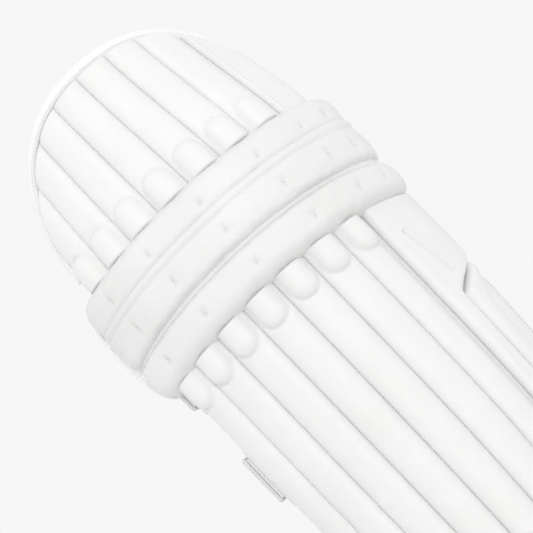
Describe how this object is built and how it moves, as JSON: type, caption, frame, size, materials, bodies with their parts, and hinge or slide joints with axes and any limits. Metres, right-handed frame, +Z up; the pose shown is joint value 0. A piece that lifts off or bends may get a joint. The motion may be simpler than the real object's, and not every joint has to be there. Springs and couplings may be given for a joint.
{
  "type": "cricket leg pad",
  "caption": "Batting leg pad with a channelled cane-stiffened shin face, padded knee rolls, a domed top hat, side wings and three hook-and-loop straps.",
  "frame": {"origin": "centre of the bounding box's bottom face, where the pad stands on its bottom edge", "axes": "+Z up the shin towards the top hat, -Y out of the face towards the bowler, +X towards the outer wing"},
  "size_m": [0.3252, 0.2076, 0.765],
  "materials": {
    "white_leather": "satin",
    "binding": "satin",
    "foam": "matte",
    "cane": "satin",
    "lining_fabric": "matte",
    "strap": "matte",
    "hook_and_loop": "matte"
  },
  "bodies": {
    "shin_section": {"shin_face_cover": "white_leather", "shin_foam_core": "foam", "shin_lining": "lining_fabric", "shin_cane_1": "cane", "shin_cane_2": "cane", "shin_cane_3": "cane", "shin_cane_4": "cane", "shin_cane_5": "cane", "shin_cane_6": "cane", "shin_cane_7": "cane", "shin_finger_pad_1": "foam", "shin_finger_pad_2": "foam", "shin_finger_pad_3": "foam", "shin_finger_pad_4": "foam", "shin_finger_pad_5": "foam", "shin_finger_pad_6": "foam", "shin_finger_pad_7": "foam", "knee_roll_lower_cover": "white_leather", "knee_roll_lower_core": "foam", "outer_wing_panel": "white_leather", "outer_wing_pad": "white_leather", "lower_wing_bolster": "white_leather", "inner_wing_panel": "white_leather", "instep_guard": "white_leather", "inner_bolster_left": "lining_fabric", "inner_bolster_right": "lining_fabric", "knee_locator_bolster": "lining_fabric", "knee_loop_patch": "hook_and_loop", "calf_loop_patch": "hook_and_loop", "ankle_loop_patch": "hook_and_loop"},
    "knee_section": {"knee_roll_middle_cover": "white_leather", "knee_roll_middle_core": "foam", "knee_panel": "foam"},
    "top_hat": {"knee_roll_upper_cover": "white_leather", "knee_roll_upper_core": "foam", "top_hat_face_cover": "white_leather", "top_hat_foam_core": "foam", "top_hat_lining": "lining_fabric", "top_hat_flap_cover": "white_leather", "top_hat_binding": "binding", "top_hat_cane_1": "cane", "top_hat_cane_2": "cane", "top_hat_cane_3": "cane", "top_hat_cane_4": "cane", "top_hat_cane_5": "cane", "top_hat_cane_6": "cane", "top_hat_cane_7": "cane", "top_hat_finger_pad_1": "foam", "top_hat_finger_pad_2": "foam", "top_hat_finger_pad_3": "foam", "top_hat_finger_pad_4": "foam", "top_hat_finger_pad_5": "foam", "top_hat_finger_pad_6": "foam", "top_hat_finger_pad_7": "foam"},
    "knee_strap": {"knee_strap": "strap", "knee_hook_tape": "hook_and_loop"},
    "calf_strap": {"calf_strap": "strap", "calf_hook_tape": "hook_and_loop"},
    "ankle_strap": {"ankle_strap": "strap", "ankle_hook_tape": "hook_and_loop"}
  },
  "joints": [
    {"name": "lower_knee_flex", "type": "hinge", "parent": "shin_section", "child": "knee_section", "pos_m": [-0.02026, -0.0218, 0.504], "axis": [-1, 0, 0], "range_deg": [0, 6]},
    {"name": "upper_knee_flex", "type": "hinge", "parent": "knee_section", "child": "top_hat", "pos_m": [-0.02026, -0.0218, 0.547], "axis": [-1, 0, 0], "range_deg": [0, 6]},
    {"name": "knee_strap_swing", "type": "hinge", "parent": "shin_section", "child": "knee_strap", "pos_m": [0.13902, 0.07631, 0.449], "axis": [0, 0, 1], "range_deg": [-110, 0]},
    {"name": "calf_strap_swing", "type": "hinge", "parent": "shin_section", "child": "calf_strap", "pos_m": [0.13809, 0.0811, 0.326], "axis": [0, 0, 1], "range_deg": [-110, 0]},
    {"name": "ankle_strap_swing", "type": "hinge", "parent": "shin_section", "child": "ankle_strap", "pos_m": [0.123, 0.05088, 0.11], "axis": [0, 0, 1], "range_deg": [-110, 0]}
  ],
  "couplings": [
    {"joint": "upper_knee_flex", "follows": "lower_knee_flex", "ratio": 1}
  ]
}
